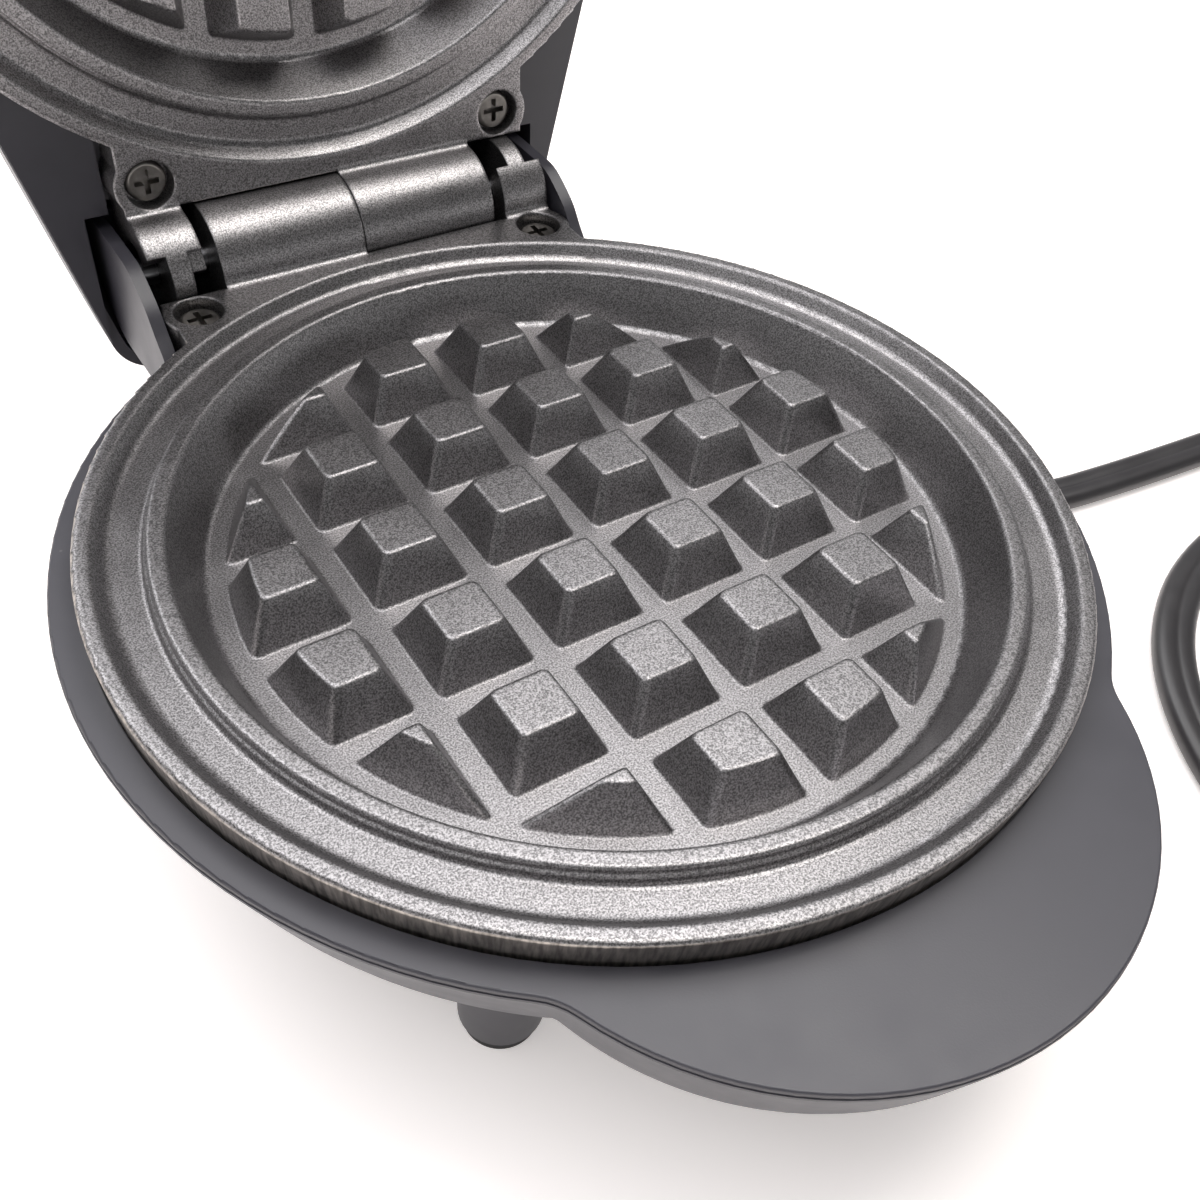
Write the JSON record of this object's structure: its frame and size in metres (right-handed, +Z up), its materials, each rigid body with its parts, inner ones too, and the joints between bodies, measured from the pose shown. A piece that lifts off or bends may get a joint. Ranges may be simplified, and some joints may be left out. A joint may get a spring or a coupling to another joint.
{
  "type": "mini waffle maker",
  "caption": "Small round electric waffle maker with a hinged lid standing open, gridded non-stick plates, a handle lobe in front and a flat twin lead in a coil.",
  "frame": {"origin": "on the worktop under the middle of the body's box, with the lid open and the lead left out", "axes": "+Z up, -Y from the hinge towards the handle, +X to the right as seen from the handle, along the hinge line"},
  "size_m": [0.2484, 0.311, 0.1817],
  "materials": {
    "housing": "satin",
    "coated_casting": "dark non-stick coating with a fine grain",
    "steel": "satin",
    "dark_screws": "satin",
    "heater_sheath": "matte",
    "brown_insulator": "gloss",
    "white_insulator": "matte",
    "white_leads": "matte",
    "cord_jacket": "satin",
    "plated_brass": "satin",
    "foot_rubber": "matte",
    "lens": "gloss",
    "lamp_glass": "gloss"
  },
  "bodies": {
    "base": {"lower_plate": "coated_casting", "lower_plate_screws": "dark_screws", "hinge_pin": "steel", "base_deck": "housing", "base_shell": "housing", "base_deck_screws": "steel", "lower_heater": "heater_sheath", "lower_heater_pins": "steel", "lower_clamp_ring": "steel", "lower_clamp_screws": "steel", "lower_reflector": "steel", "thermostat": "brown_insulator", "thermostat_screws": "steel", "thermal_fuse": "steel", "fuse_strap": "steel", "fuse_screw": "steel", "cord_clamp": "housing", "cord_clamp_screws": "steel", "strain_relief": "cord_jacket", "base_leads": "white_leads", "wire_connector": "white_insulator", "cord_lead": "cord_jacket", "cord_coil": "cord_jacket", "plug_body": "cord_jacket", "plug_blades": "plated_brass", "foot_front_right": "foot_rubber", "foot_front_left": "foot_rubber", "foot_rear_right": "foot_rubber", "foot_rear_left": "foot_rubber"},
    "lid": {"upper_plate": "coated_casting", "upper_plate_screws": "dark_screws", "lid_deck": "housing", "lid_shell": "housing", "upper_heater": "heater_sheath", "upper_heater_pins": "steel", "upper_clamp_ring": "steel", "upper_clamp_screws": "steel", "upper_reflector": "steel", "indicator_lens": "lens", "lamp_holder": "white_insulator", "indicator_lamp": "lamp_glass", "lid_leads": "white_leads"}
  },
  "joints": [
    {"name": "lid_hinge", "type": "hinge", "parent": "base", "child": "lid", "pos_m": [0, 0.05169, 0.03635], "axis": [1, 0, 0], "range_deg": [0, 94.65]}
  ]
}
